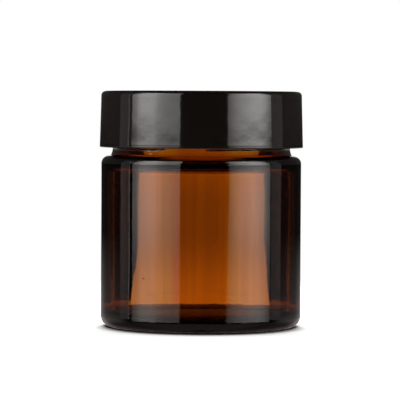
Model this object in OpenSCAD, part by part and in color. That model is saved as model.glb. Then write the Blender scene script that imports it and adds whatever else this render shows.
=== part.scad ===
// Screw-capped glass cream jar, with a lined plastic cap.
// Millimetres. The origin is the middle of the base, on the surface the jar stands on, and +Z is up.

/* [Jar body] */
// Outside diameter of the glass body
body_d = 57; // [56:0.5:64]
// Height of the flat top of the shoulder above the base
shoulder_z = 48.65; // [40:0.05:70]
// Thickness of the glass in the body wall
wall = 2.6; // [2:0.1:3.2]
// Height of the inside floor above the base, at its edge
floor_z = 3; // [2.6:0.1:5]
// Outside rounding of the shoulder
shoulder_r = 2.3; // [1:0.1:2.4]
// Outside rounding of the heel
heel_r = 3; // [2:0.1:3.4]
// Height of the hollow under the base, at its middle
push_up = 0.9; // [0.3:0.1:1.5]

/* [Jar neck] */
// Diameter of the neck wall between the threads
neck_d = 50; // [48:0.1:50.4]
// Diameter of the mouth
mouth_d = 45.2; // [42:0.1:45.6]
// Height of the neck above the shoulder
neck_h = 15.1; // [14:0.05:18]

/* [Thread] */
// Rise of the thread in one turn
pitch = 4.233; // [4:0.001:4.5]
// Turns of thread on the glass, and in the cap
turns = 1.25; // [1:0.05:1.5]
// Height of the glass thread above the neck wall
glass_ridge = 1.3; // [1:0.05:1.3]
// Height of the cap thread above the bore of the cap
cap_ridge = 1.1; // [0.8:0.05:1.1]
// Gap between the two threads along the axis, with the cap closed
thread_gap = 0.2; // [0.15:0.05:0.4]

/* [Cap] */
// Outside diameter of the cap at the lower edge of its skirt
cap_d = 58; // [57.2:0.1:60]
// Height of the cap
cap_h = 16.05; // [15.5:0.05:17]
// Draft of the outside of the skirt, in degrees
cap_draft = 1.5; // [0:0.1:1.5]
// Thickness of the top of the cap
cap_top = 2; // [1.6:0.1:2.2]
// Rounding of the edge around the top of the cap
cap_edge_r = 1.3; // [0.6:0.1:1.6]

/* [Liner] */
// Thickness of the board disc
board_t = 0.95; // [0.8:0.05:1.2]
// Thickness of the film on the face of the board
film_t = 0.2; // [0.15:0.05:0.3]

/* [Hidden] */

$fn = 96;
body_r = body_d / 2;
neck_r = neck_d / 2;
mouth_r = mouth_d / 2;
cavity_r = body_r - wall;
rim_z = shoulder_z + neck_h;

// Roundings of the glass
rim_outer_r = 0.5;
rim_inner_r = 0.7;
neck_root_r = 0.8;
inner_heel_r = 2.2;
inner_step = cavity_r - mouth_r; // from the body wall in to the mouth
inner_shoulder_r = 0.6 * inner_step;
mouth_root_r = inner_step - inner_shoulder_r;
push_up_edge_r = heel_r + 3; // from the body wall in to the edge of the hollow under the base

flat_drop = 0.01; // how far below its top an arc in the base or floor is cut flat

// Clearances between the pieces
seal_gap = 0.05;  // rim to film, and board to the top of the cap
liner_gap = 0.15; // edge of the liner to the bore of the cap
bore_gap = 0.3;   // crest of the glass thread to the bore of the cap

// Thread sections: width at the root and at the crest
glass_root_w = 2.4;
glass_crest_w = 1;
cap_root_w = 2.2;
cap_crest_w = 0.8;
thread_below_rim = 2.35; // from the rim down to the middle of the upper end of the glass thread
sink = 0.35;             // how deep the root of a ridge is bedded in its wall
fade_turn = 0.07;        // part of a turn over which a ridge rises at each end
steps_per_turn = 64;

// Cap
cap_bore_r = neck_r + glass_ridge + bore_gap;
liner_z = rim_z + seal_gap;
ceiling_z = liner_z + film_t + board_t + seal_gap;
cap_z = ceiling_z + cap_top - cap_h;
cap_r = cap_d / 2;
liner_r = cap_bore_r - liner_gap;
bead_h = 0.4;       // height of the retaining bead above the bore
bead_r = 0.6;       // radius of the bead's round section
mouth_chamfer = 0.6; // lead-in at the lower edge of the skirt
skirt_edge_r = 0.3;  // rounding of the outside lower edge of the skirt

// Axial distance from the middle of the glass ridge down to the middle of the cap ridge. The two are
// closest at the crest of the glass ridge, where the cap ridge is this wide.
cap_w_at_crest = cap_root_w - (cap_root_w - cap_crest_w) * bore_gap / cap_ridge;
ridge_step = (glass_crest_w + cap_w_at_crest) / 2 + thread_gap;
glass_thread_z = rim_z - thread_below_rim - turns * pitch;
cap_thread_z = glass_thread_z - ridge_step;

// Half section with a rounded lower corner and a rounded upper corner
module rounded_half(r, z_low, z_high, r_low, r_high) {
    translate([0, z_low + r_low]) square([r, z_high - z_low - r_low - r_high]);
    translate([0, z_low]) square([r - r_low, r_low]);
    translate([r - r_low, z_low + r_low]) circle(r_low);
    translate([0, z_high - r_high]) square([r - r_high, r_high]);
    translate([r - r_high, z_high - r_high]) circle(r_high);
}

// Fills an inside corner at a point, on the side given by the signs, with a hollow rounding
module corner_fill(x, z, r, x_side, z_side) {
    translate([x, z]) difference() {
        translate([min(0, x_side * r), min(0, z_side * r)]) square(r);
        translate([x_side * r, z_side * r]) circle(r);
    }
}

// Everything under a large arc whose top is at z_top on the axis, and which is edge_drop lower at edge_r.
// The middle of the arc is cut flat.
module under_arc(z_top, edge_r, edge_drop) {
    arc_r = (edge_r * edge_r + edge_drop * edge_drop) / (2 * edge_drop);
    translate([0, z_top - arc_r]) intersection() {
        circle(arc_r, $fn = 1440);
        square([arc_r, arc_r - flat_drop]);
    }
}

// A ridge that climbs along a right-hand helix. At each end it rises out of the wall over fade_turn.
// wall_r is the wall's radius, and a negative height points to the axis. The flanks run on in one plane
// to the bedding, which is inside the wall.
module helical_ridge(wall_r, height, root_w, crest_w, z_start) {
    steps = round(turns * steps_per_turn);
    fade_steps = fade_turn * steps_per_turn;
    bedding = height > 0 ? -sink : sink;
    bedded_w = root_w + (root_w - crest_w) * sink / abs(height);
    function rise(i) = sin(90 * min(1, i / fade_steps, (steps - i) / fade_steps));
    function section(i) =
        let (
            a = 360 * i / steps_per_turn,
            z = z_start + pitch * i / steps_per_turn,
            root_r = wall_r + bedding,
            // the end sections lie wholly inside the wall
            crest_r = wall_r + bedding / 2 + (height - bedding / 2) * rise(i),
            profile = [
                [root_r, -bedded_w / 2],
                [crest_r, -crest_w / 2],
                [crest_r, crest_w / 2],
                [root_r, bedded_w / 2]
            ]
        )
        [for (p = profile) [p[0] * cos(a), p[0] * sin(a), z + p[1]]];
    points = [for (i = [0:steps]) each section(i)];
    n = 4;
    sides = [
        for (i = [0:steps - 1], j = [0:n - 1])
            let (k = (j + 1) % n)
            each [
                [i * n + j, i * n + k, (i + 1) * n + k],
                [i * n + j, (i + 1) * n + k, (i + 1) * n + j]
            ]
    ];
    ends = [[for (j = [n - 1:-1:0]) j], [for (j = [0:n - 1]) steps * n + j]];
    faces = concat(sides, ends);
    polyhedron(points, height > 0 ? faces : [for (f = faces) [for (j = [len(f) - 1:-1:0]) f[j]]]);
}

module jar_section() {
    difference() {
        union() {
            rounded_half(body_r, 0, shoulder_z, heel_r, shoulder_r);
            translate([0, shoulder_z - 1]) square([neck_r, neck_h + 1 - rim_outer_r]);
            translate([0, rim_z - rim_outer_r]) square([neck_r - rim_outer_r, rim_outer_r]);
            translate([neck_r - rim_outer_r, rim_z - rim_outer_r]) circle(rim_outer_r);
            corner_fill(neck_r, shoulder_z, neck_root_r, 1, 1);
        }
        // the hollow inside, up to the shoulder, over a floor that rises a little to its middle
        difference() {
            rounded_half(cavity_r, floor_z, shoulder_z - wall, inner_heel_r, inner_shoulder_r);
            under_arc(floor_z + push_up / 2, cavity_r - inner_heel_r, push_up / 2);
        }
        // the mouth, with a rounded step below it and a rounded rim above it
        translate([0, shoulder_z - wall - 1]) square([mouth_r, rim_z]);
        corner_fill(mouth_r, shoulder_z - wall, mouth_root_r, 1, 1);
        corner_fill(mouth_r, rim_z, rim_inner_r, 1, -1);
        // the hollow under the base
        under_arc(push_up, body_r - push_up_edge_r, push_up);
    }
}

module jar() {
    color([0.42, 0.16, 0.02, 0.75]) union() {
        rotate_extrude() jar_section();
        helical_ridge(neck_r, glass_ridge, glass_root_w, glass_crest_w, glass_thread_z);
    }
}

module cap_section() {
    lean = cap_h * tan(cap_draft);
    difference() {
        union() {
            polygon([
                [0, cap_z],
                [cap_r - skirt_edge_r, cap_z],
                [cap_r, cap_z + skirt_edge_r],
                [cap_r - lean * (1 - cap_edge_r / cap_h), cap_z + cap_h - cap_edge_r],
                [cap_r - lean * (1 - cap_edge_r / cap_h) - cap_edge_r, cap_z + cap_h],
                [0, cap_z + cap_h]
            ]);
            translate([
                cap_r - lean * (1 - cap_edge_r / cap_h) - cap_edge_r,
                cap_z + cap_h - cap_edge_r
            ]) circle(cap_edge_r);
        }
        translate([-1, cap_z - 1]) square([cap_bore_r + 1, ceiling_z - cap_z + 1]);
        polygon([
            [0, cap_z - 0.01],
            [cap_bore_r + mouth_chamfer, cap_z - 0.01],
            [cap_bore_r, cap_z + mouth_chamfer],
            [0, cap_z + mouth_chamfer]
        ]);
    }
    // retaining bead, just under the liner
    intersection() {
        translate([cap_bore_r - bead_h + bead_r, liner_z - bead_r]) circle(bead_r);
        translate([cap_bore_r - bead_h, liner_z - 2 * bead_r]) square([bead_h + sink, 2 * bead_r]);
    }
}

module screw_cap() {
    color([0.05, 0.045, 0.04]) union() {
        rotate_extrude() cap_section();
        helical_ridge(cap_bore_r, -cap_ridge, cap_root_w, cap_crest_w, cap_thread_z);
    }
}

module liner_board() {
    color([0.72, 0.66, 0.56]) translate([0, 0, liner_z + film_t]) cylinder(h = board_t, r = liner_r);
}

module liner_film() {
    color([0.95, 0.95, 0.93]) translate([0, 0, liner_z]) cylinder(h = film_t, r = liner_r);
}

jar();
screw_cap();
liner_board();
liner_film();
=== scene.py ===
"""An amber glass cream jar with a black screw cap and a two-part liner, on a white studio floor.

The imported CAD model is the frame. Sizes are in millimetres, and MM turns them into Blender's metres.
"""

import math

import bpy
import numpy as np
from mathutils import Matrix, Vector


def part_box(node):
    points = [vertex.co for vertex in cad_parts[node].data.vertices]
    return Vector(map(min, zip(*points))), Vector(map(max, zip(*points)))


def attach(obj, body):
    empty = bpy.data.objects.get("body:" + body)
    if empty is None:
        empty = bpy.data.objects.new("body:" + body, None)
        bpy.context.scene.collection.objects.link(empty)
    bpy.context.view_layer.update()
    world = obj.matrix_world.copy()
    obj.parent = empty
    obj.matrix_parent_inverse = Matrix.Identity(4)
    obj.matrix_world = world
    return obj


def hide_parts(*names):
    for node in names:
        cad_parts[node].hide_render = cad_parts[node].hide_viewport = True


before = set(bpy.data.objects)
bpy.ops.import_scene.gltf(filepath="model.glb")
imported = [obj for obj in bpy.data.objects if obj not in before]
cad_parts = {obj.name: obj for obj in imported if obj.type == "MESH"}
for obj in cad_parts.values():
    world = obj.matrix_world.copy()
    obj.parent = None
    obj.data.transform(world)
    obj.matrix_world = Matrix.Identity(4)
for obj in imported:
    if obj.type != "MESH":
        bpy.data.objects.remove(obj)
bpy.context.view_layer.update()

MM = 0.001

# ---------------------------------------------------------------- sizes that the frame holds

jar_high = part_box("jar")[1]
cap_low, cap_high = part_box("screw_cap")
film_low, film_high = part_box("liner_film")
board_low, board_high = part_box("liner_board")

cap_clear = 0.015
body_r = jar_high.x / MM
rim_z = jar_high.z / MM
cap_r = cap_high.x / MM - cap_clear
cap_z = cap_low.z / MM
cap_top_z = cap_high.z / MM
film_z = film_low.z / MM
board_z = board_low.z / MM
board_top_z = board_high.z / MM
liner_r = film_high.x / MM

# ---------------------------------------------------------------- sizes of the glass and of the cap

wall = 2.6
shoulder_z = 48.65
shoulder_r = 2.3
heel_r = 3.0
floor_z = 3.0
push_up = 0.9
neck_r = 25.0
mouth_r = 22.6
neck_foot_r = 25.55
neck_foot_top_z = 51.3
neck_root_r = 0.8
rim_outer_r = 0.5
rim_inner_r = 0.7
cavity_r = body_r - wall
cavity_top_z = shoulder_z - wall
inner_heel_r = 2.2
inner_step = cavity_r - mouth_r
inner_shoulder_r = 0.6 * inner_step
mouth_root_r = inner_step - inner_shoulder_r
bearing_w = 3.0
bearing_out_r = body_r - heel_r
bearing_in_r = bearing_out_r - bearing_w

# Thread, the same helix on the glass and in the cap
pitch = 4.233
turns = 1.25
fade_turn = 0.07
thread_below_rim = 2.35
cap_thread_drop = 1.609
thread_z = rim_z - thread_below_rim - turns * pitch
glass_ridge = {"height": 1.3, "root_w": 2.4, "crest_w": 1.0, "z": thread_z}
cap_ridge = {"height": -1.1, "root_w": 2.2, "crest_w": 0.8, "z": thread_z - cap_thread_drop}

# Cap
cap_bore_r = 26.6
ceiling_z = 65.0
cap_draft = math.radians(1.5)
cap_edge_r = 1.3
skirt_edge_r = 0.3
mouth_chamfer = 0.6
bead_h = 0.4
bead_r = 0.6

# The longest steps along the outlines, and the steps round them
wall_step = 1.5
fine_step = 0.1
thread_step = 0.17
jar_steps = 360
cap_steps = 288
liner_steps = 192


# ---------------------------------------------------------------- outlines and lathed meshes


class Outline:
    """A half section drawn from the axis to the axis, in millimetres, with the zone each point is in."""

    def __init__(self, r, z, zone):
        self.points = [(r, z)]
        self.zones = [zone]

    def point(self, r, z, zone):
        self.points.append((r, z))
        self.zones.append(zone)

    def line(self, r, z, step, zone):
        """A straight run to a point, in steps no longer than step."""
        r0, z0 = self.points[-1]
        count = max(1, math.ceil(math.hypot(r - r0, z - z0) / step))
        for i in range(1, count + 1):
            self.point(r0 + (r - r0) * i / count, z0 + (z - z0) * i / count, zone)

    def arc(self, centre_r, centre_z, radius, start, end, count, zone):
        """An arc about a centre, between two angles in degrees. It starts where the outline ends."""
        for i in range(1, count + 1):
            a = math.radians(start + (end - start) * i / count)
            self.point(centre_r + radius * math.cos(a), centre_z + radius * math.sin(a), zone)

    def dome(self, axis_z, edge_r, edge_z, radii, zone):
        """Points of a shallow dome with its top at axis_z on the axis, and edge_z at edge_r."""
        drop = axis_z - edge_z
        big_r = (edge_r**2 + drop**2) / (2 * drop)
        for r in radii:
            self.point(r, axis_z - big_r + math.sqrt(big_r**2 - r**2), zone)


def lathe(name, outline, angles, shape):
    """A closed mesh turned from an outline whose two ends are on the axis.

    shape(r, z, zone, angle) moves the points. It gets and returns arrays with one row for each outline
    point and one column for each angle.
    """
    rz = np.array(outline.points[1:-1])
    zones = np.array(outline.zones[1:-1])[:, None]
    rows, columns = len(rz), len(angles)
    r = np.repeat(rz[:, :1], columns, axis=1)
    z = np.repeat(rz[:, 1:], columns, axis=1)
    r, z = shape(r, z, zones, angles[None, :])
    grid = np.stack([r * np.cos(angles), r * np.sin(angles), z], axis=-1).reshape(-1, 3)
    ends = [(0, 0, outline.points[0][1]), (0, 0, outline.points[-1][1])]
    points = np.concatenate([grid, ends]) * MM
    first, last = rows * columns, rows * columns + 1
    column = np.arange(columns)
    beside = (column + 1) % columns
    faces = [(first, b, a) for a, b in zip(column, beside)]
    for row in range(rows - 1):
        low, high = row * columns, (row + 1) * columns
        faces += list(zip(low + column, low + beside, high + beside, high + column))
    top = (rows - 1) * columns
    faces += [(last, top + a, top + b) for a, b in zip(column, beside)]
    mesh = bpy.data.meshes.new(name)
    mesh.from_pydata(points.tolist(), [], [[int(i) for i in face] for face in faces])
    mesh.polygons.foreach_set("use_smooth", np.ones(len(mesh.polygons), bool))
    mesh.update()
    piece = bpy.data.objects.new(name, mesh)
    bpy.context.scene.collection.objects.link(piece)
    return piece


def even_angles(count, extra=()):
    """Angles all round, with more of them given where the shape needs them."""
    angles = np.concatenate([np.arange(count) * 2 * math.pi / count, np.array(list(extra))])
    return np.unique(np.round(angles % (2 * math.pi), 6))


def bump_at(x, middle, width):
    """A smooth hump that is 1 at the middle and falls away over the width."""
    return np.exp(-(((x - middle) / width) ** 2))


def between(x, low, high, fade):
    """1 between two limits and 0 outside them, with a straight fade inside each limit."""
    return np.clip(np.minimum(x - low, high - x) / fade, 0, 1)


def on(zone, *names):
    """True where the outline is in one of the named zones."""
    return np.isin(zone, names)


def turn_from(angle, middle):
    """The turn from one angle to another, from minus half a turn to half a turn."""
    return (angle - middle + math.pi) % (2 * math.pi) - math.pi


def ripple(angle, z, seeds):
    """A gentle mix of waves over a wall, from -1 to 1.

    Each seed is a count round the wall, a rise along z in radians per millimetre, a phase and a share.
    """
    total = sum(share * np.sin(count * angle + rise * z + phase) for count, rise, phase, share in seeds)
    return total / sum(share for *_, share in seeds)


def dips(angle, z, seeds):
    """The same mix of waves, from 0 to 1."""
    return (1 + ripple(angle, z, seeds)) / 2


def ring(z, band):
    """How far a band all round a wall stands out of it."""
    return band["out"] * bump_at(z, band["z"], band["tall"])


def mark(angle, z, spot, radius):
    """How far a small round mark stands out of a wall of this radius. Less than 0 is a hollow."""
    aside = turn_from(angle, spot["angle"]) * radius
    return spot["out"] * bump_at(aside, 0, spot["wide"]) * bump_at(z, spot["z"], spot["tall"])


def thread(angle, z, ridge):
    """How far a helical ridge stands out of its wall at each point."""
    out = np.zeros(np.broadcast(angle, z).shape)
    flank = (ridge["root_w"] - ridge["crest_w"]) / 2
    for whole in range(math.ceil(turns)):
        along = whole + angle / (2 * math.pi)
        rise = np.sin(math.pi / 2 * np.clip(np.minimum(along, turns - along) / fade_turn, 0, 1))
        off = np.abs(z - ridge["z"] - pitch * along)
        t = np.clip((ridge["root_w"] / 2 - off) / flank, 0, 1)
        out = out + ridge["height"] * rise * t * t * (3 - 2 * t)
    return out


# ---------------------------------------------------------------- glass jar

# Waves: count round, rise, phase, share
outer_waves = [(3, 0.05, 0.4, 1.0), (7, -0.11, 2.1, 0.7), (13, 0.19, 4.0, 0.45), (29, 0.31, 1.0, 0.2)]
root_waves = [(97, 0.0, 0.3, 1.0), (131, 2.0, 1.1, 1.0), (61, 0.0, 4.1, 0.6)]
inner_waves = [(2, 0.04, 1.3, 1.0), (9, 0.06, 0.2, 0.8), (23, 0.05, 3.0, 0.5), (47, 0.11, 5.1, 0.3)]
outer_wave_h = 0.02
outer_wave_fade = 4
inner_wave_h = 0.03
inner_wave_fade = 5
floor_wave_h = 0.03
floor_wave_fade = 8
floor_wave_rise = 3
root_wave_h = 0.015

seam_angles = [math.radians(a) for a in (7.0, 187.0)]
seam_w = 0.18
seam_h = 0.03
seam_end_z = shoulder_z - 0.05
heel_seam = {"z": 1.0, "tall": 0.12, "out": 0.04}
shoulder_ring = {"z": 47.5, "tall": 0.11, "out": 0.03}
seed = {"angle": math.radians(-123.7), "z": 14.7, "wide": 0.2, "tall": 0.22, "out": -0.1}
seed_reach = 0.6
run_out = {"angle": math.radians(-122.7), "z": 50.45, "wide": 2.0, "tall": 0.5, "out": 0.07}

# A low bead under the thread, on the camera's side, with a gap in it
neck_bead = {"z": 50.83, "tall": 0.3, "out": 0.42}
gap_angle = math.radians(-100.5)
gap_half = math.radians(14.5)
gap_fade = 0.06
bead_side_from = -0.25
bead_side_fade = 0.625

# Under the base: fine ridges on the bearing ring, and a ring mark
ridge_count = 90
ridge_h = 0.12
ridge_fade = 0.6
ring_mark_r = 13.1
ring_mark_w = 0.3
ring_mark_h = 0.06
push_up_radii = [0.6, 1.6, 3, 5, 7, 9, 11, 12, 12.5, 12.8, ring_mark_r, 13.4, 13.7, 14.2,
                 15.5, 17, 18.5, 20, 21, 21.7, 22.2, bearing_in_r]
floor_radii = [22, 20, 18, 15.5, 13, 10.5, 8, 5.5, 3.2, 1.4]


def glass_outline():
    """From the middle of the base up the outside, over the rim and down the inside to the floor."""
    line = Outline(0, push_up, "push_up")
    line.dome(push_up, bearing_in_r, 0, push_up_radii, "push_up")
    line.line(bearing_out_r, 0, 0.3, "bearing")
    line.arc(bearing_out_r, heel_r, heel_r, -90, 0, 22, "heel")
    line.line(body_r, seed["z"] - seed_reach, wall_step, "wall")
    line.line(body_r, seed["z"] + seed_reach, fine_step, "wall")
    line.line(body_r, shoulder_z - shoulder_r, wall_step, "wall")
    line.arc(body_r - shoulder_r, shoulder_z - shoulder_r, shoulder_r, 0, 90, 36, "shoulder")
    line.line(neck_foot_r + neck_root_r, shoulder_z, 0.4, "shoulder")
    line.arc(neck_foot_r + neck_root_r, shoulder_z + neck_root_r, neck_root_r, 270, 192, 10, "root")
    line.line(neck_r, neck_foot_top_z, thread_step, "neck")
    line.line(neck_r, rim_z - rim_outer_r, thread_step, "neck")
    line.arc(neck_r - rim_outer_r, rim_z - rim_outer_r, rim_outer_r, 0, 90, 6, "rim")
    line.line(mouth_r + rim_inner_r, rim_z, 0.6, "rim")
    line.arc(mouth_r + rim_inner_r, rim_z - rim_inner_r, rim_inner_r, 90, 180, 7, "rim")
    line.line(mouth_r, cavity_top_z + mouth_root_r, 2, "mouth")
    line.arc(mouth_r + mouth_root_r, cavity_top_z + mouth_root_r, mouth_root_r, 180, 270, 8, "mouth")
    shoulder_middle = (cavity_r - inner_shoulder_r, cavity_top_z - inner_shoulder_r)
    line.arc(*shoulder_middle, inner_shoulder_r, 90, 0, 10, "inside")
    line.line(cavity_r, floor_z + inner_heel_r, 1.8, "inside")
    line.arc(cavity_r - inner_heel_r, floor_z + inner_heel_r, inner_heel_r, 0, -90, 12, "inside")
    line.dome(floor_z + push_up / 2, cavity_r - inner_heel_r, floor_z, floor_radii, "floor")
    line.point(0, floor_z + push_up / 2, "floor")
    return line


def glass_shape(r, z, zone, angle):
    """The marks of the mould and of blowing: uneven walls, seams, thread, and ridges under the base."""
    outside = on(zone, "wall") * between(z, heel_r, shoulder_z - shoulder_r, outer_wave_fade)
    inner_low, inner_high = floor_z + inner_heel_r, cavity_top_z - inner_shoulder_r
    inside = on(zone, "inside") * between(z, inner_low, inner_high, inner_wave_fade)
    outer = r - outer_wave_h * outside * dips(angle, z, outer_waves)
    outer = outer + inner_wave_h * inside * ripple(angle, z, inner_waves)
    for seam_angle in seam_angles:
        seam = seam_h * bump_at(turn_from(angle, seam_angle) * body_r, 0, seam_w)
        outer = outer + on(zone, "wall", "heel") * seam
        z = z + on(zone, "shoulder") * (z < seam_end_z) * seam
    outer = outer + on(zone, "heel") * ring(z, heel_seam)
    outer = outer + on(zone, "neck") * thread(angle, z, glass_ridge)
    outer = outer + on(zone, "shoulder") * ring(z, shoulder_ring)
    outer = outer + root_wave_h * on(zone, "root") * ripple(angle, z, root_waves)
    outer = outer + on(zone, "wall") * mark(angle, z, seed, body_r)
    outer = outer + on(zone, "root", "neck") * mark(angle, z, run_out, neck_r)
    gap_reach = gap_half + gap_fade / 2
    in_gap = between(turn_from(angle, gap_angle), -gap_reach, gap_reach, gap_fade)
    toward_camera = -np.sin(angle)
    in_front = np.clip((toward_camera - bead_side_from) / bead_side_fade, 0, 1)
    outer = outer + on(zone, "root", "neck") * (1 - in_gap) * in_front * ring(z, neck_bead)
    across = between(r, bearing_in_r, bearing_out_r, ridge_fade)
    ridges = 0.5 - 0.5 * np.cos(ridge_count * angle)
    z = z + ridge_h * on(zone, "bearing") * across * ridges
    z = z + ring_mark_h * on(zone, "push_up") * bump_at(r, ring_mark_r, ring_mark_w)
    floor_wave = ripple(angle, floor_wave_rise * r, inner_waves) * np.clip(r / floor_wave_fade, 0, 1)
    z = z + floor_wave_h * on(zone, "floor") * floor_wave
    return outer, z


across_seam = [k * seam_w / body_r for k in (-2, -1.2, -0.5, 0, 0.5, 1.2, 2)]
seam_steps = [seam_angle + step for seam_angle in seam_angles for step in across_seam]
seed_steps = [seed["angle"] + k * fine_step / body_r for k in range(-5, 6)]
jar_angles = even_angles(jar_steps, seam_steps + seed_steps)
jar_glass = lathe("jar_glass", glass_outline(), jar_angles, glass_shape)
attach(jar_glass, "jar")
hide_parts("jar")


# ---------------------------------------------------------------- screw cap

cap_waves = [(5, 0.35, 0.3, 1.0), (11, -0.6, 1.7, 0.8), (19, 0.9, 3.3, 0.5), (31, -1.4, 5.0, 0.25)]
cap_wave_h = 0.02
skirt_wave_fade = 2
top_wave_r = cap_r - 2
top_wave_fade = 4
cap_dent = {"angle": math.radians(-31.5), "z": 58.6, "wide": 0.7, "tall": 1.6, "out": -0.03}


def cap_outline():
    """From the middle of the ceiling down the bore, round the lower edge and up the skirt to the top."""
    height = cap_top_z - cap_z
    lean = height * math.tan(cap_draft)
    upper_r = cap_r - lean * (1 - cap_edge_r / height)
    line = Outline(0, ceiling_z, "ceiling")
    line.line(cap_bore_r, ceiling_z, 4, "ceiling")
    line.line(cap_bore_r, film_z, 0.3, "ceiling")
    half = math.degrees(math.acos((bead_r - bead_h) / bead_r))
    line.arc(cap_bore_r - bead_h + bead_r, film_z - bead_r, bead_r, 180 - half, 180 + half, 8, "bead")
    line.line(cap_bore_r, cap_z + mouth_chamfer, thread_step, "bore")
    line.line(cap_bore_r + mouth_chamfer, cap_z, 0.3, "edge")
    line.line(cap_r - skirt_edge_r, cap_z, 0.4, "edge")
    line.arc(cap_r - skirt_edge_r, cap_z + skirt_edge_r, skirt_edge_r, -90, 0, 6, "edge")
    line.line(upper_r, cap_top_z - cap_edge_r, 0.7, "skirt")
    line.arc(upper_r - cap_edge_r, cap_top_z - cap_edge_r, cap_edge_r, 0, 90, 12, "top_edge")
    line.line(1.0, cap_top_z, 2.2, "top")
    line.point(0, cap_top_z, "top")
    return line


def cap_shape(r, z, zone, angle):
    """The slight unevenness of a moulded skirt and top, and the thread inside."""
    on_skirt = on(zone, "skirt") * between(z, cap_z, cap_top_z - cap_edge_r, skirt_wave_fade)
    outer = r - cap_wave_h * on_skirt * dips(angle, z, cap_waves)
    outer = outer + on_skirt * mark(angle, z, cap_dent, cap_r)
    outer = outer + on(zone, "bore") * thread(angle, z, cap_ridge)
    off_edge = np.clip((top_wave_r - r) / top_wave_fade, 0, 1)
    z = z - cap_wave_h * on(zone, "top") * off_edge * dips(angle, r, cap_waves)
    return outer, z


cap_shell = lathe("cap_shell", cap_outline(), even_angles(cap_steps), cap_shape)
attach(cap_shell, "cap")
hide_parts("screw_cap")


# ---------------------------------------------------------------- liner

press_in_r = mouth_r + 0.3
press_out_r = neck_r - 0.2
press_depth = 0.06
press_fade = 0.5
press_margin = 0.4
film_edge_r = 0.06
board_edge_r = 0.12
film_cut = 0.03
board_cut = 0.05
cut_waves = [(4, 0.0, 0.5, 1.0), (17, 1.0, 2.0, 0.5), (53, 3.0, 1.0, 0.5)]


def pressed(r):
    """How far the rim of the jar has pressed into the liner at this radius."""
    both = between(r, press_in_r, press_out_r, press_fade)
    return press_depth * both * both * (3 - 2 * both)


def disc_outline(low_z, high_z, edge_r):
    """A flat disc with rounded edges. Its points are closer together where the rim presses."""
    line = Outline(0, low_z, "low")
    line.line(press_in_r - press_margin, low_z, 2.4, "low")
    line.line(press_out_r + press_margin, low_z, 0.2, "low")
    line.line(liner_r - edge_r, low_z, 0.5, "low")
    line.arc(liner_r - edge_r, low_z + edge_r, edge_r, -90, 0, 4, "edge")
    line.line(liner_r, high_z - edge_r, 0.3, "edge")
    line.arc(liner_r - edge_r, high_z - edge_r, edge_r, 0, 90, 4, "edge")
    line.line(press_out_r + press_margin, high_z, 0.5, "high")
    line.line(press_in_r - press_margin, high_z, 0.2, "high")
    line.line(1.0, high_z, 2.4, "high")
    line.point(0, high_z, "high")
    return line


def film_shape(r, z, zone, angle):
    """A film with the print of the rim in it."""
    return r - film_cut * on(zone, "edge") * dips(angle, z, cut_waves), z + pressed(r)


def board_shape(r, z, zone, angle):
    """A punched board disc, with the print of the rim in its lower face."""
    outer = r - board_cut * on(zone, "edge") * dips(angle, z, cut_waves)
    return outer, z + on(zone, "low") * pressed(r)


film_outline = disc_outline(film_z, board_z, film_edge_r)
liner_film = lathe("liner_film_disc", film_outline, even_angles(liner_steps), film_shape)
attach(liner_film, "liner")
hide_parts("liner_film")

board_outline = disc_outline(board_z, board_top_z, board_edge_r)
liner_board = lathe("liner_board_disc", board_outline, even_angles(liner_steps), board_shape)
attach(liner_board, "liner")
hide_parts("liner_board")


# ---------------------------------------------------------------- shader helpers


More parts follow.
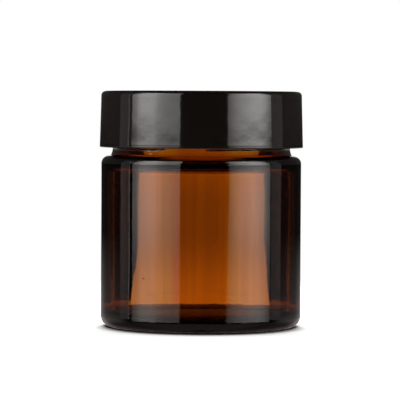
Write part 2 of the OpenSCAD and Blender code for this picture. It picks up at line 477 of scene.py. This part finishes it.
class Tree:
    """Adds nodes to one shader tree. A value is a number, a tuple or another node's output."""

    def __init__(self, tree):
        self.tree = tree
        tree.nodes.clear()

    def add(self, kind, settings=None, **inputs):
        node = self.tree.nodes.new("ShaderNode" + kind)
        for name, value in (settings or {}).items():
            setattr(node, name, value)
        for name, value in inputs.items():
            self.put(node.inputs[name.replace("_", " ")], value)
        return node

    def put(self, socket, value):
        if isinstance(value, bpy.types.NodeSocket):
            self.tree.links.new(value, socket)
        else:
            socket.default_value = value

    def math(self, operation, a, b=0.0, clamp=False):
        node = self.add("Math", {"operation": operation, "use_clamp": clamp})
        self.put(node.inputs[0], a)
        self.put(node.inputs[1], b)
        return node.outputs[0]

    def join(self, operation, values):
        """One operation over two or more values, from the first to the last."""
        result = values[0]
        for value in values[1:]:
            result = self.math(operation, result, value)
        return result

    def times(self, *values):
        return self.join("MULTIPLY", values)

    def plus(self, *values):
        return self.join("ADD", values)

    def most(self, *values):
        return self.join("MAXIMUM", values)

    def ramp(self, value, low, high, at_low=0.0, at_high=1.0, kind="SMOOTHSTEP"):
        """Goes from at_low to at_high as the value goes from low to high."""
        node = self.add("MapRange", {"interpolation_type": kind}, Value=value)
        for socket, number in zip(node.inputs[1:5], (low, high, at_low, at_high)):
            socket.default_value = number
        return node.outputs[0]

    def ramp_mm(self, value, low, high, at_low=0.0, at_high=1.0):
        """A ramp whose limits are millimetres."""
        return self.ramp(value, low * MM, high * MM, at_low, at_high)

    def mix(self, share, a, b):
        """A colour between two colours."""
        node = self.add("Mix", {"data_type": "RGBA"})
        self.put(node.inputs[0], share)
        self.put(node.inputs[6], a)
        self.put(node.inputs[7], b)
        return node.outputs[2]

    def place(self, kind="Object"):
        return self.add("TexCoord").outputs[kind]

    def axes(self, place):
        """The parts of a place along X, Y and Z."""
        return self.add("SeparateXYZ", Vector=place).outputs

    def length(self, place):
        return self.add("VectorMath", {"operation": "LENGTH"}, Vector=place).outputs["Value"]

    def stretched(self, place, scale):
        return self.add("Mapping", Vector=place, Scale=scale).outputs[0]

    def from_axis(self, place):
        """How far a place is from the upright axis of its piece."""
        return self.length(self.stretched(place, (1, 1, 0)))

    def noise(self, place, scale, detail=2.0, roughness=0.5):
        node = self.add("TexNoise", Vector=place, Scale=scale, Detail=detail, Roughness=roughness)
        return node.outputs["Fac"]

    def bump(self, height, depth_mm, strength=1.0, normal=None):
        node = self.add("Bump", Height=height, Distance=depth_mm * MM, Strength=strength)
        if normal is not None:
            self.put(node.inputs["Normal"], normal)
        return node.outputs[0]

    def facing(self):
        """0 where a face is seen straight on, 1 where it is seen edge on."""
        return self.add("LayerWeight", Blend=0.5).outputs["Facing"]

    def blend(self, share, a, b):
        """A shader between two shaders."""
        node = self.add("MixShader")
        for socket, value in zip(node.inputs, (share, a.outputs[0], b.outputs[0])):
            self.put(socket, value)
        return node

    def show(self, surface, kind="OutputMaterial"):
        """Puts a shader on the surface."""
        out = self.add(kind)
        self.put(out.inputs["Surface"], surface.outputs[0])
        return out


def material(name):
    made = bpy.data.materials.new(name)
    made.use_nodes = True
    return made, Tree(made.node_tree)


def dress(piece, made):
    piece.data.materials.clear()
    piece.data.materials.append(made)


# ---------------------------------------------------------------- materials of the jar


def amber_glass():
    """Clear amber glass. Its colour is in its depth; cords of slightly denser glass run up the walls."""
    made, t = material("amber_glass")
    cord_tint, clear = (0.9, 0.88, 0.87, 1), (1, 1, 1, 1)
    depth_colour, depth_density = (0.86, 0.6, 0.0, 1), 1000
    place = t.place()
    cords = t.noise(t.stretched(place, (420, 420, 12)), 1.0, 3.0, 0.6)
    handled = t.noise(place, 90, 4.0, 0.6)
    skin = t.noise(place, 700, 2.0, 0.5)

    # The floor is a little frosted inside
    height = t.axes(place)["Z"]
    above_floor = t.ramp_mm(height, floor_z - 0.3, floor_z - 0.05, 0.0, 0.42)
    below_wall = t.ramp_mm(height, floor_z + 0.6, floor_z + 1.2, 1.0, 0.0)
    inner_only = t.ramp_mm(t.from_axis(place), cavity_r - 0.2, cavity_r + 0.6, 1.0, 0.0)
    frost = t.times(t.times(above_floor, below_wall), inner_only)

    shader = t.add(
        "BsdfPrincipled",
        Base_Color=t.mix(t.ramp(cords, 0.35, 0.65), cord_tint, clear),
        Roughness=t.plus(t.ramp(handled, 0.45, 0.8, 0.004, 0.03), frost),
        IOR=1.52,
        Transmission_Weight=1.0,
        Normal=t.bump(skin, 0.004),
    )
    depth = t.add("VolumeAbsorption", Color=depth_colour, Density=depth_density)
    t.put(t.show(shader).inputs["Volume"], depth.outputs[0])
    return made


def black_plastic():
    """Glossy black moulded plastic, with a fine skin, faint rubbing, a dull edge and a satin top."""
    made, t = material("black_plastic")
    darkest, lightest = (0.008, 0.005, 0.0035, 1), (0.013, 0.009, 0.007, 1)
    place = t.place()
    height = t.axes(place)["Z"]
    mottle = t.noise(place, 160, 3.0, 0.6)
    rubs = t.noise(t.stretched(place, (900, 900, 90)), 1.0, 3.0, 0.7)
    skin = t.noise(place, 420, 2.0, 0.5)
    drawn = t.noise(t.stretched(place, (1400, 1400, 16)), 1.0, 2.0, 0.5)
    worn_edge = t.ramp_mm(height, cap_z + 0.1, cap_z + 0.7, 0.12, 0.0)
    top_only = t.ramp_mm(height, cap_top_z - 0.12, cap_top_z - 0.05, 0.0, 0.33)
    inner_only = t.ramp_mm(t.from_axis(place), cap_r - 3.2, cap_r - 2.2, 1.0, 0.0)
    satin_top = t.times(top_only, inner_only)
    t.show(t.add(
        "BsdfPrincipled",
        Base_Color=t.mix(mottle, darkest, lightest),
        Roughness=t.plus(t.ramp(rubs, 0.5, 0.8, 0.07, 0.13), t.plus(worn_edge, satin_top)),
        IOR=1.58,
        Normal=t.bump(drawn, 0.004, normal=t.bump(skin, 0.008)),
    ))
    return made


def pulp_board():
    """Grey-brown pulpboard, with fibres on its faces."""
    made, t = material("liner_board")
    dark_pulp, pale_pulp = (0.38, 0.31, 0.22, 1), (0.60, 0.52, 0.41, 1)
    place = t.place()
    clouds = t.noise(place, 220, 4.0, 0.6)
    fibres = t.noise(t.stretched(place, (2600, 500, 2600)), 1.0, 4.0, 0.7)
    both = t.plus(t.times(clouds, 0.5), t.times(fibres, 0.5))
    t.show(t.add(
        "BsdfPrincipled",
        Base_Color=t.mix(t.ramp(both, 0.35, 0.65), dark_pulp, pale_pulp),
        Roughness=t.ramp(fibres, 0.3, 0.7, 0.8, 0.95),
        Normal=t.bump(both, 0.08, 0.8),
    ))
    return made


def white_film():
    """Thin white film with a soft shine, printed by the board under it."""
    made, t = material("liner_film")
    greyer, whiter = (0.82, 0.81, 0.78, 1), (0.90, 0.90, 0.88, 1)
    place = t.place()
    show_through = t.noise(place, 260, 3.0, 0.6)
    grain = t.noise(place, 1500, 3.0, 0.6)
    t.show(t.add(
        "BsdfPrincipled",
        Base_Color=t.mix(show_through, greyer, whiter),
        Roughness=t.ramp(show_through, 0.3, 0.7, 0.22, 0.38),
        Normal=t.bump(grain, 0.03, 0.6),
    ))
    return made


dress(jar_glass, amber_glass())
dress(cap_shell, black_plastic())
dress(liner_board, pulp_board())
dress(liner_film, white_film())


# ---------------------------------------------------------------- studio

ray_kinds = ("camera", "diffuse", "glossy", "transmission", "volume_scatter", "shadow")

# Soft boxes and strips are on a sphere round the jar. Azimuths are degrees from the camera's side and
# elevations are degrees from level. A height is (elevation, share) and a place across is (place, share).
studio_z = 35
studio_r = 650
box_low, box_high = -13, 44
softbox_peak = 5.2
softbox_colour = (1, 0.985, 0.955, 1)
box_heights = [(-13, 0.31), (-8, 0.34), (-4.4, 0.37), (-3.7, 0.42), (-2.9, 0.49), (-1.4, 0.56), (0, 0.47),
               (2.1, 0.25), (2.5, 0.19), (2.8, 0.22), (3.1, 0.34), (3.4, 0.48), (6, 1.0), (44, 1.0)]
left_across = [(0, 0.4), (0.18, 0.45), (0.38, 0.6), (0.59, 0.95), (0.77, 0.9), (0.93, 0.44), (1, 0.36)]
right_across = [(0, 0.22), (0.1, 0.42), (0.42, 0.86), (0.65, 1.0), (0.83, 0.8), (0.93, 0.5), (1, 0.36)]
right_inner = [(-8, 28), (0, 32), (4, 28.5), (20, 32)]
strip_low, strip_high = -8, 30
strip_colour = (1, 0.97, 0.93, 1)


def seen_by(obj, **rays):
    """Sets which rays see a stage object. Those that aren't named don't."""
    for ray in ray_kinds:
        setattr(obj, "visible_" + ray, rays.get(ray, False))


def add_stage(name, points, faces, uvs=None):
    """A stage object from points in millimetres."""
    mesh = bpy.data.meshes.new(name)
    mesh.from_pydata([[part * MM for part in point] for point in points], [], faces)
    if uvs is not None:
        layer = mesh.uv_layers.new(name="UVMap")
        for loop in mesh.loops:
            layer.data[loop.index].uv = uvs[loop.vertex_index]
    obj = bpy.data.objects.new(name, mesh)
    bpy.context.scene.collection.objects.link(obj)
    return obj


def show_light(made, t, light):
    """A shader that glows to be seen, and isn't sampled as a lamp."""
    t.show(light)
    made.cycles.emission_sampling = "NONE"


def upright(azimuth):
    """The edge of a panel that goes straight up."""
    return [(0, azimuth)]


def sky_panel(name, inner, outer, low, high, made, columns=12, rows=24):
    """A panel on a sphere round the jar. Its edges are lists of (elevation, azimuth)."""
    points, uvs = [], []
    for j in range(rows + 1):
        elevation = low + (high - low) * j / rows
        first = np.interp(elevation, *zip(*inner))
        last = np.interp(elevation, *zip(*outer))
        up = math.radians(elevation)
        for i in range(columns + 1):
            a = math.radians(first + (last - first) * i / columns)
            x, y = math.sin(a) * math.cos(up), -math.cos(a) * math.cos(up)
            points.append((studio_r * x, studio_r * y, studio_z + studio_r * math.sin(up)))
            uvs.append((i / columns, j / rows))
    across = columns + 1
    faces = [
        (j * across + i, j * across + i + 1, (j + 1) * across + i + 1, (j + 1) * across + i)
        for j in range(rows)
        for i in range(columns)
    ]
    panel = add_stage(name, points, faces, uvs)
    dress(panel, made)
    return panel


def float_curve(t, value, pairs):
    """A smooth curve through (value, result) pairs, all from 0 to 1."""
    curve = t.add("FloatCurve", Value=value)
    points = curve.mapping.curves[0].points
    for k, (x, y) in enumerate(pairs):
        if k < 2:
            points[k].location = (x, y)
        else:
            points.new(x, y)
    for point in points:
        point.handle_type = "AUTO_CLAMPED"
    curve.mapping.update()
    return curve.outputs[0]


def softbox_light(name, across, by_height):
    """Light of a soft box: its peak times a share across it times a share for each elevation."""
    made, t = material(name)
    uv = t.axes(t.place("UV"))
    pairs = [((e - box_low) / (box_high - box_low), share) for e, share in by_height]
    share = t.times(float_curve(t, uv["X"], across), float_curve(t, uv["Y"], pairs))
    show_light(made, t, t.add("Emission", Color=softbox_colour, Strength=t.times(share, softbox_peak)))
    return made


def plain_light(name, strength):
    made, t = material(name)
    show_light(made, t, t.add("Emission", Color=strip_colour, Strength=strength))
    return made


softboxes = {
    "softbox_left": (upright(-23.5), upright(-84), left_across),
    "softbox_right": (right_inner, upright(84.5), right_across),
}
for name, (inner, outer, across) in softboxes.items():
    light = softbox_light(name, across, box_heights)
    seen_by(sky_panel(name, inner, outer, box_low, box_high, light), glossy=True, transmission=True)

dim = plain_light("dim_strip", 0.3)
strips = {
    "strip_left": (-90.2, -103.7, dim),
    "strip_right": (85.5, 102.6, dim),
    "line_left": (-88, -89.6, plain_light("line", 1.0)),
}
for name, (inner, outer, light) in strips.items():
    seen_by(sky_panel(name, upright(inner), upright(outer), strip_low, strip_high, light), glossy=True)


def add_card():
    """A bright card close behind the jar, seen only through the glass and nearly straight on."""
    card_y = 45
    outline = [(-27, -1), (25.5, -1), (22.5, 22), (22, 62), (-21.5, 62), (-22.5, 22)]
    middle_colour, side_colour = (1, 0.7, 0.4, 1), (1.06, 1.3, 0.38, 1)
    card = add_stage("card", [(x, card_y, z) for x, z in outline], [tuple(range(len(outline)))])
    made, t = material("card")
    place = t.axes(t.place())
    low_part = t.ramp_mm(place["Z"], 2, 25, 0.9, 0.41)
    high_part = t.ramp_mm(place["Z"], 33, 47, 0.0, 0.17)
    foot = t.ramp_mm(place["Z"], -1, 1.5)
    head = t.ramp_mm(place["Z"], 62, 57)
    # A dark band at the height of the shoulder
    band = t.most(t.ramp_mm(place["Z"], 46.4, 46.1), t.ramp_mm(place["Z"], 47.9, 48.4))
    glow = t.times(t.plus(low_part, high_part), t.times(foot, head, band))
    aside = t.ramp_mm(t.math("ABSOLUTE", place["X"]), 7.5, 11)
    light = t.add("Emission", Color=t.mix(aside, middle_colour, side_colour), Strength=glow)
    show_light(made, t, t.blend(t.ramp(t.facing(), 0.025, 0.07), light, t.add("BsdfTransparent")))
    dress(card, made)
    seen_by(card, transmission=True)


def round_patch(reach, count=96):
    """Points and the one face of a flat disc on the floor."""
    turns_round = [2 * math.pi * k / count for k in range(count)]
    return [(reach * math.cos(a), reach * math.sin(a), 0) for a in turns_round], [tuple(range(count))]


def one_sided(t, front):
    """front on the upper side, and nothing on the lower one, so that the base can be seen from below."""
    behind = t.add("NewGeometry").outputs["Backfacing"]
    return t.blend(behind, front, t.add("BsdfTransparent"))


def add_floor():
    """A round patch of pale floor that fades into the white studio, with a painted contact shadow: its
    colour goes dark close to the jar and reaches further in front of it.
    """
    painted_shadow_colour = (0.035, 0.035, 0.035, 1)
    pale_low, pale_high = (0.79, 0.79, 0.785, 1), (0.81, 0.81, 0.805, 1)
    painted_shadow_y = -6.5
    floor = add_stage("floor", *round_patch(240))
    made, t = material("floor")
    place = t.place()
    pale = t.mix(t.noise(place, 40, 3.0, 0.5), pale_low, pale_high)
    # Painted contact shadow: the floor colour goes from near black to pale between 24.3 and 31 mm from a
    # point 6.5 mm in front of the jar's middle.
    away = t.add("VectorMath", {"operation": "DISTANCE"}, Vector=place)
    t.put(away.inputs[1], (0, painted_shadow_y * MM, 0))
    painted_shadow = t.ramp_mm(away.outputs["Value"], 24.3, 31)
    surface = t.add("BsdfDiffuse", Color=t.mix(painted_shadow, painted_shadow_colour, pale))
    faded = t.blend(t.ramp_mm(t.length(place), 100, 230), surface, t.add("BsdfTransparent"))
    t.show(one_sided(t, faded))
    dress(floor, made)
    seen_by(floor, camera=True)
    return floor


def add_floor_near():
    """The part of the floor that shows through the glass: a glow that starts a little way off the jar."""
    disc = add_stage("floor_near", *round_patch(100))
    made, t = material("floor_near")
    middle = t.length(t.place())
    glow = t.plus(t.ramp_mm(middle, 29, 40, 0.0, 0.1), t.ramp_mm(middle, 45, 85, 0.0, 0.7))
    from_above = t.ramp(t.facing(), 0.85, 0.75, 0.3, 1.0)
    light = t.add("Emission", Color=(0.95, 0.75, 0.4, 1), Strength=t.times(glow, from_above))
    show_light(made, t, one_sided(t, light))
    dress(disc, made)
    seen_by(disc, transmission=True)


def add_overhead(floor):
    """A large light above and behind, which lights the floor only."""
    lamp = bpy.data.lights.new("overhead", "AREA")
    lamp.shape = "RECTANGLE"
    lamp.size, lamp.size_y = 1400 * MM, 700 * MM
    lamp.energy = 38
    obj = bpy.data.objects.new("overhead", lamp)
    obj.location = (0, 360 * MM, 1000 * MM)
    bpy.context.scene.collection.objects.link(obj)
    lit = bpy.data.collections.new("lit_by_overhead")
    lit.objects.link(floor)
    obj.light_linking.receiver_collection = lit


def set_world():
    """White to the camera. Shiny and clear surfaces see a dark studio with bright sides."""
    world = bpy.data.worlds.new("studio")
    bpy.context.scene.world = world
    world.use_nodes = True
    world.cycles.sampling_method = "NONE"
    t = Tree(world.node_tree)
    white, mirrored_colour, amber_through = (1, 1, 1, 1), (1, 0.9, 0.87, 1), (1, 0.66, 0.4, 1)

    # up is the ray's rise, and back is 1 straight away from the camera and -1 towards it
    way = t.axes(t.place("Generated"))
    up = way["Z"]
    flat = t.math("SQRT", t.math("SUBTRACT", 1.0, t.times(up, up)))
    back = t.math("DIVIDE", way["Y"], t.most(flat, 0.001))
    not_front = t.ramp(back, -0.62, -0.5)

    # What is seen through the glass: the floor, the sides and the light above
    below_front = t.times(t.ramp(up, -0.15, -0.24), t.ramp(back, 0.3, 0.0))
    below = t.most(below_front, t.ramp(up, -0.34, -0.44))
    beside = t.times(t.ramp(back, 0.86, 0.8, 0.0, 0.03), not_front)
    far_side = t.times(t.ramp(back, 0.0, -0.2, 0.0, 0.35), not_front)
    above = t.ramp(up, 0.4, 0.6, 0.0, 0.45)
    clear = t.most(t.most(below, beside), t.most(above, far_side))

    # What is mirrored: a faint room, the floor with the jar's shade on it, and a bright spot behind
    sides = t.ramp(back, -0.7, 0.0, 0.02, 0.09)
    room = t.math("SUBTRACT", sides, t.ramp(back, 0.4, 0.85, 0.0, 0.03))
    room = t.times(room, t.ramp(up, -0.015, 0.03, 0.3, 1.0))
    low_back = t.times(t.ramp(up, -0.045, -0.1, kind="LINEAR"), t.ramp(back, 0.0, 0.35))
    low_back = t.times(low_back, t.ramp(back, 0.75, 0.95, 0.3, 0.5))
    low_front = t.times(t.ramp(up, -0.25, -0.4, 0.0, 0.2), t.ramp(back, 0.35, 0.0))
    shade = t.times(t.ramp(up, -0.2, -0.5, 0.0, 0.75), t.ramp(back, -0.5, 0.2))
    shade_behind = t.times(t.ramp(up, -0.05, -0.1, 0.0, 0.95), t.ramp(back, 0.95, 0.985))
    lit = t.math("SUBTRACT", 1.0, t.most(shade, shade_behind))
    low = t.times(t.plus(low_back, low_front), lit)
    level = t.times(t.ramp(up, -0.25, -0.1), t.ramp(up, 0.2, 0.08))
    behind = t.times(t.ramp(back, 0.985, 0.999), level)
    shown = t.plus(room, low, behind)

    # What each kind of ray gets
    ray = t.add("LightPath").outputs
    through = t.times(ray["Is Transmission Ray"], clear)
    mirrored = t.math("SUBTRACT", ray["Is Glossy Ray"], ray["Is Transmission Ray"], clamp=True)
    shine = t.times(mirrored, shown)
    diffuse = t.times(ray["Is Diffuse Ray"], t.ramp(up, -0.2, 0.2, 0.9, 0.12))
    total = t.plus(t.plus(through, shine), t.plus(diffuse, ray["Is Camera Ray"]))
    colour = t.mix(mirrored, white, mirrored_colour)
    colour = t.mix(ray["Is Transmission Ray"], colour, amber_through)
    t.show(t.add("Background", Color=colour, Strength=total), "OutputWorld")


def add_camera():
    """The photograph's viewpoint: far off, a little below the top of the cap, looking slightly down."""
    distance, height, aside = 807 * MM, 62.8 * MM, -0.31 * MM
    pitch_down, roll = math.radians(1.905), math.radians(0.3)
    data = bpy.data.cameras.new("camera")
    data.sensor_width = 36
    data.lens = 254.6
    camera = bpy.data.objects.new("camera", data)
    turn = Matrix.Rotation(math.pi / 2 - pitch_down, 4, "X") @ Matrix.Rotation(roll, 4, "Z")
    camera.matrix_world = Matrix.Translation((aside, -distance, height)) @ turn
    bpy.context.scene.collection.objects.link(camera)
    bpy.context.scene.camera = camera


add_card()
add_overhead(add_floor())
add_floor_near()
set_world()
add_camera()
bpy.context.scene.view_settings.view_transform = "Standard"
